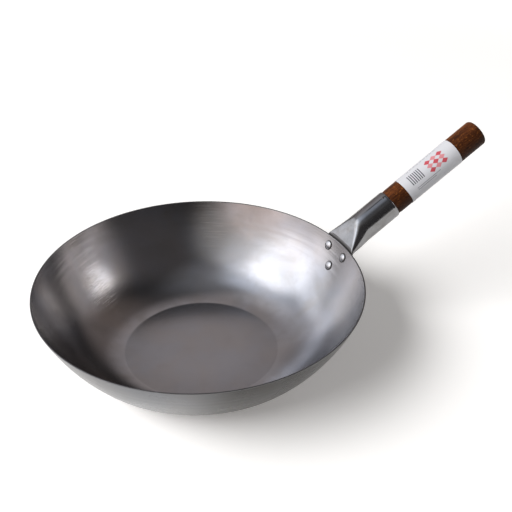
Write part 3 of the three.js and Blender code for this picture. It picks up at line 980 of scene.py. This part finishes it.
def makeGrip(size):
    mesh = turnedMesh("grip", gripProfile(size), size["sides"], stainedWood(woodLook))
    mesh.transform(handleFrame)
    return linkPiece("grip", mesh, size["sharpAngle"])


grip = makeGrip(gripSizes)
finishPiece(grip, "stained_wood", "wood_grip")
print("grip turned")

# Sleeve: a printed paper strip wrapped round the grip, with its ends lapped underneath

sleeveSizes = {
    "offset": 0.0208,
    "length": 0.0746,
    "gap": 0.00012,
    "looseness": 0.00028,
    "paper": 0.00012,
    "slant": 0.0003,  # how far the strip's ends stray from straight
    "lap": math.radians(22),  # how far the strip laps over itself
    "lapRise": math.radians(30),  # it starts to ride up this long before the lap
    "lapLift": 2.2,  # and rides up by as many papers
    "seamTurn": math.radians(35),  # where the lap lies, round from straight underneath
    "around": 150,
    "along": 44,
}

printLook = {
    "paper": (0.63, 0.63, 0.66),
    "fibre": (0.54, 0.54, 0.57),
    "red": (0.50, 0.03, 0.05),
    "rose": (0.64, 0.22, 0.24),
    "ink": (0.035, 0.035, 0.05),
    "greyInk": (0.22, 0.22, 0.25),
    "roughness": 0.55,
}


# a generic print, in millimetres round the grip from its top (across) and along it
printLayout = {
    "lozenges": {"across": 3.2, "acrossStep": 5.6, "along": 39.0, "alongStep": 8.6, "half": (3.1, 4.6)},
    "stripes": {"across": (1.0, 14.5), "along": 10.0, "step": 2.6, "width": 1.2, "count": 7},
    "rules": {"across": 19.6, "step": 2.2, "width": 0.7, "along": 12.0, "lengths": (34.0, 27.0)},
    "dashes": {"across": (-6.2, -5.3), "along": 14.0, "step": 5.0, "length": 3.4, "count": 9},
}


def printedPaper(look, layout):
    material, sheet, shader = newFinish("printedPaper")
    spot = sheet.parts(sheet.add("ShaderNodeUVMap", uv_map="wrap").outputs[0])
    across, along = spot["X"], spot["Y"]

    def band(value, low, high, soft=0.12):
        rise = sheet.ramp(value, low - soft, low + soft)
        fall = sheet.ramp(value, high - soft, high + soft, 1.0, 0.0)
        return sheet.math("MULTIPLY", rise, fall)

    def box(fromAcross, toAcross, fromAlong, toAlong):
        return sheet.math("MULTIPLY", band(across, fromAcross, toAcross), band(along, fromAlong, toAlong))

    def apart(value, middle, half):
        return sheet.math("DIVIDE", sheet.math("ABSOLUTE", sheet.math("SUBTRACT", value, middle)), half)

    def lozenge(middleAcross, middleAlong, half):
        out = sheet.math("ADD", apart(across, middleAcross, half[0]), apart(along, middleAlong, half[1]))
        return sheet.ramp(out, 0.92, 1.04, 1.0, 0.0)

    shapes = {"red": [], "rose": [], "ink": [], "greyInk": []}
    lozenges, stripes, rules, dashes = (layout[name] for name in ("lozenges", "stripes", "rules", "dashes"))
    for row in range(3):
        for column in range(3):
            place = lozenges["across"] + lozenges["acrossStep"] * column
            far = lozenges["along"] + lozenges["alongStep"] * row
            colour = "rose" if (row + column) % 2 else "red"
            shapes[colour].append(lozenge(place, far, lozenges["half"]))
    for k in range(stripes["count"]):
        far = stripes["along"] + stripes["step"] * k
        shapes["ink"].append(box(*stripes["across"], far, far + stripes["width"]))
    for k, length in enumerate(rules["lengths"]):
        place = rules["across"] + rules["step"] * k
        shapes["greyInk"].append(box(place, place + rules["width"], rules["along"], rules["along"] + length))
    for k in range(dashes["count"]):
        far = dashes["along"] + dashes["step"] * k
        shapes["greyInk"].append(box(*dashes["across"], far, far + dashes["length"]))
    fibre = sheet.noise(sheet.place(), 420.0, 4.0, 0.6)
    tone = sheet.mix(sheet.ramp(fibre, 0.3, 0.75, 0.0, 0.10), look["paper"], look["fibre"])
    for colour, marks in shapes.items():
        tone = sheet.mix(sheet.math("MULTIPLY", sheet.most(marks), 0.92), tone, look[colour])
    finish = {
        "Base Color": tone,
        "Roughness": sheet.ramp(fibre, 0.2, 0.8, look["roughness"] - 0.05, look["roughness"] + 0.1),
        "Normal": sheet.bump(fibre, 0.05, 0.0001),
    }
    sheet.fill(shader, finish)
    return material


def makeSleeve(size):
    mesh = bpy.data.meshes.new("sleeve")
    near = mouth + size["offset"]
    sweep = 2 * math.pi + size["lap"]
    vertices, faces, spots = [], [], []
    for j in range(size["along"] + 1):
        share = j / size["along"]
        distance = near + size["length"] * share
        for i in range(size["around"] + 1):
            run = sweep * i / size["around"]
            lapped = max(0.0, run - 2 * math.pi + size["lapRise"]) / (size["lap"] + size["lapRise"])
            loose = size["looseness"] * (0.55 + 0.45 * math.sin(2 * run + 0.6) * math.sin(math.pi * share))
            radius = gripRadiusAt(distance) + size["gap"] + loose
            radius += lapped**2 * size["lapLift"] * size["paper"]
            angle = run + size["seamTurn"]  # from underneath, round over the top
            slant = size["slant"] * math.sin(2 * angle + 0.8) * (2 * share - 1)
            vertices.append((radius * math.cos(angle), radius * math.sin(angle), distance + slant))
            spots.append((1000 * radius * (angle - math.pi), 1000 * size["length"] * share))
    row = size["around"] + 1
    for j in range(size["along"]):
        for i in range(size["around"]):
            a = j * row + i
            faces.append((a, a + 1, a + 1 + row, a + row))
    mesh.from_pydata(vertices, [], faces)
    wrap = mesh.uv_layers.new(name="wrap")
    for loop in mesh.loops:
        wrap.data[loop.index].uv = spots[loop.vertex_index]
    mesh.materials.append(printedPaper(printLook, printLayout))
    mesh.transform(handleFrame)
    obj = linkPiece("sleeve", mesh)
    wall = obj.modifiers.new("paper", "SOLIDIFY")
    wall.thickness = size["paper"]
    wall.offset = 1.0
    solid = plainMesh(obj, "sleeve")
    return linkPiece("sleeve", solid, sharpAngle)


sleeve = makeSleeve(sleeveSizes)
finishPiece(sleeve, "sleeve_paper", "paper_sleeve")
print("sleeve wrapped")

# Nail: pins the grip in the socket

nailSizes = {
    "offset": 0.0019,
    "turn": math.radians(9),
    "headRadius": 0.0016,
    "headHeight": 0.0006,
    "headSteps": 6,
    "headSunk": 0.0003,
    "shankRadius": 0.0009,
    "length": 0.014,
    "point": 0.002,
    "sides": 32,
}
nailLook = {"steel": (0.13, 0.125, 0.12), "rust": (0.08, 0.06, 0.05), "roughness": 0.45}


def nailSteel(look):
    material, sheet, shader = newFinish("nailSteel")
    spots = sheet.noise(sheet.place(), 1500.0, 3.0, 0.6)
    tone = sheet.mix(sheet.ramp(spots, 0.4, 0.7), look["steel"], look["rust"])
    sheet.fill(shader, {"Base Color": tone, "Metallic": 1.0, "Roughness": look["roughness"]})
    return material


def makeNail(size):
    profile = [(0, -size["length"]), (size["shankRadius"], size["point"] - size["length"])]
    profile += [(size["shankRadius"], -size["headSunk"]), (size["headRadius"], -size["headSunk"])]
    for k in range(size["headSteps"]):
        turn = math.pi / 2 * k / size["headSteps"]
        profile.append((size["headRadius"] * math.cos(turn), size["headHeight"] * math.sin(turn)))
    profile.append((0, size["headHeight"]))
    mesh = turnedMesh("nail", profile, size["sides"], nailSteel(nailLook))
    way = Vector((-math.cos(size["turn"]), -math.sin(size["turn"]), 0))
    seat = way * socketSizes["radius"] + Vector((0, 0, crimpStart - size["offset"]))
    turn = Vector((0, 0, 1)).rotation_difference(way).to_matrix().to_4x4()
    mesh.transform(handleFrame @ Matrix.Translation(seat) @ turn)
    return linkPiece("nail", mesh, sharpAngle)


nail = makeNail(nailSizes)
finishPiece(nail, "nail_steel", "grip_nail")
print("nail driven")

# Stage: a pale floor, soft light from the left, and the room that the steel reflects

stageLook = {
    "floorReach": 2.5,
    "floorDrop": 0.0002,  # so that the base and the floor do not flicker
    "fadeFrom": 1.0,  # from here to its edge the floor fades to white
    "floorColour": (0.95, 0.94, 0.93),
    "floorGlow": 0.25,  # seen by the camera and by the steel, so that the bare floor is white
    "glowColour": (1.0, 0.965, 0.94),
    "fill": (0.13, 0.13, 0.13),
    "room": (0.036, 0.035, 0.036),
    "hazeFrom": 0.0,  # past the floor the room is white too, up to between these heights of the view
    "hazeTo": 0.03,
}


def makeFloor(look):
    reach = look["floorReach"]
    corners = [(-reach, -reach), (reach, -reach), (reach, reach), (-reach, reach)]
    mesh = bpy.data.meshes.new("floor")
    mesh.from_pydata([(x, y, -look["floorDrop"]) for x, y in corners], [], [(0, 1, 2, 3)])
    material, sheet, shader = newFinish("paleFloor")
    apart = sheet.vector("LENGTH", sheet.place())
    glow = sheet.ramp(apart, look["fadeFrom"], reach, look["floorGlow"], 1.0)
    finish = {
        "Emission Strength": sheet.math("MULTIPLY", sheet.seen(), glow),
        "Emission Color": look["glowColour"],
        "Base Color": look["floorColour"],
        "Roughness": 1.0,
        "Specular IOR Level": 0.0,
    }
    sheet.fill(shader, finish)
    mesh.materials.append(material)
    floor = bpy.data.objects.new("floor", mesh)
    scene.collection.objects.link(floor)


def skyWay(side, lift):
    # a direction from the picture's own bearings: side is degrees right of straight away from the camera
    turn = math.radians(90 - side + shot["turn"])
    rise = math.radians(lift)
    return (math.cos(turn) * math.cos(rise), math.sin(turn) * math.cos(rise), math.sin(rise))


shot = {
    "place": (-0.33165, -0.76709, 0.66516),
    "turn": -27.55,  # degrees round Z
    "tilt": 33.04,  # degrees down
    "lens": 66.8,
    "sensor": 36.0,
}

def glow(side, lift, inner, outer, level, colour):
    return {"side": side, "lift": lift, "inner": inner, "outer": outer, "level": level, "colour": colour}


# what the steel reflects: each glow's side and lift, where it starts to fade and where it ends
# (degrees from its middle), how bright it is and what colour
glows = [
    glow(-100, 38, 14, 28, 1.58, (1.0, 1.0, 1.02)),
    glow(-100, 58, 8, 26, 0.88, (0.89, 0.99, 1.18)),
    glow(-130, 45, 8, 27, 0.57, (0.98, 1.0, 1.04)),
    glow(-154, 33, 4, 33, 0.45, (1.03, 1.0, 0.98)),
    glow(-143, 10, 5, 28, 0.62, (1.2, 0.95, 0.88)),
    glow(-88, 20, 20, 58, 0.42, (0.9, 0.98, 1.1)),
    glow(-106, 4, 14, 36, 0.75, (1.1, 0.97, 0.93)),
    glow(-69, 14, 10, 28, 1.08, (1.0, 1.0, 1.04)),
    glow(81, 29, 3, 12, 1.85, (1.03, 1.0, 0.99)),
    glow(80, 17, 6, 37, 0.42, (1.06, 0.97, 0.97)),
    glow(88, 2, 4, 26, 0.38, (1.06, 0.98, 0.97)),
    glow(132, 40, 5, 42, 0.055, (1.05, 0.97, 1.03)),
    glow(36, 38, 5, 30, 0.15, (1.2, 0.95, 0.85)),
    glow(-22, 38, 16, 38, 0.385, (1.06, 0.97, 0.98)),
    glow(-47, 56, 3, 16, 0.26, (1.0, 1.0, 1.03)),
    glow(-110, 72, 10, 40, 0.21, (0.95, 0.98, 1.08)),
]


def lightRoom(look):
    world = bpy.data.worlds.new("room")
    scene.world = world
    world.use_nodes = True
    world.node_tree.nodes.clear()
    sheet = NodeSheet(world.node_tree)
    way = sheet.add("ShaderNodeTexCoord").outputs["Generated"]
    room = look["room"]
    for lit in glows:
        facing = sheet.vector("DOT_PRODUCT", way, skyWay(lit["side"], lit["lift"]))
        outer, inner = (math.cos(math.radians(lit[edge])) for edge in ("outer", "inner"))
        colour = [lit["level"] * c for c in lit["colour"]]
        added = sheet.mix(sheet.ramp(facing, outer, inner), (0, 0, 0, 1), colour)
        room = sheet.mix(1.0, room, added, "ADD")
    haze = sheet.ramp(sheet.parts(way)["Z"], look["hazeFrom"], look["hazeTo"])
    room = sheet.mix(haze, (1, 1, 1, 1), room)
    shown = sheet.mix(sheet.seen(), look["fill"], room)
    back = sheet.add("ShaderNodeBackground", {"Color": shown, "Strength": 1.0})
    sheet.add("ShaderNodeOutputWorld", {"Surface": back.outputs[0]})


windowLight = {"side": -114, "lift": 41, "distance": 12.0, "size": (12.0, 6.0), "power": 1940}


def addLamp(name, look):
    data = bpy.data.lights.new(name, "AREA")
    data.shape = "ELLIPSE"
    data.size, data.size_y = look["size"]
    data.energy = look["power"]
    lamp = bpy.data.objects.new(name, data)
    way = Vector(skyWay(look["side"], look["lift"]))
    lamp.location = way * look["distance"]
    lamp.rotation_euler = way.to_track_quat("Z", "Y").to_euler()
    lamp.visible_glossy = False  # the steel reflects the room's glow instead
    scene.collection.objects.link(lamp)


def placeCamera():
    data = bpy.data.cameras.new("camera")
    data.lens = shot["lens"]
    data.sensor_width = shot["sensor"]
    camera = bpy.data.objects.new("camera", data)
    camera.location = shot["place"]
    camera.rotation_euler = (math.radians(90 - shot["tilt"]), 0, math.radians(shot["turn"]))
    scene.collection.objects.link(camera)
    scene.camera = camera


makeFloor(stageLook)
lightRoom(stageLook)
addLamp("windowLight", windowLight)
placeCamera()
print("stage lit")
